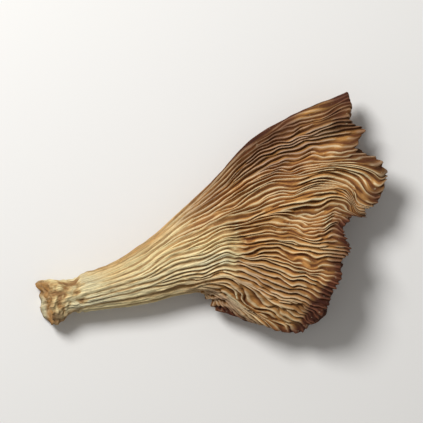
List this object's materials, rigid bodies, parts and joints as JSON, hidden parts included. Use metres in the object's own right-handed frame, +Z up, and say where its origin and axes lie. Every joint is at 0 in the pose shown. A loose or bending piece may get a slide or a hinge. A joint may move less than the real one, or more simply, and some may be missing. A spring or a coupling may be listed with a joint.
{
  "type": "chanterelle mushroom",
  "caption": "Dried chanterelle mushroom lying on its side: a ridged stem opening into a folded funnel cap with a ruffled margin, for food and table scenes.",
  "frame": {"origin": "on the surface that the mushroom lies on, below the middle of its bounding box", "axes": "+X from the cut foot of the stem to the cap, +Y to the back fold of the cap, +Z up from the surface"},
  "size_m": [0.0514, 0.0352, 0.0114],
  "materials": {
    "dried_flesh": "matt dried mushroom flesh: pale cream on the stem, tan on the ridges, dark brown between them"
  },
  "bodies": {
    "root": {"chanterelle": "dried_flesh"}
  },
  "joints": []
}
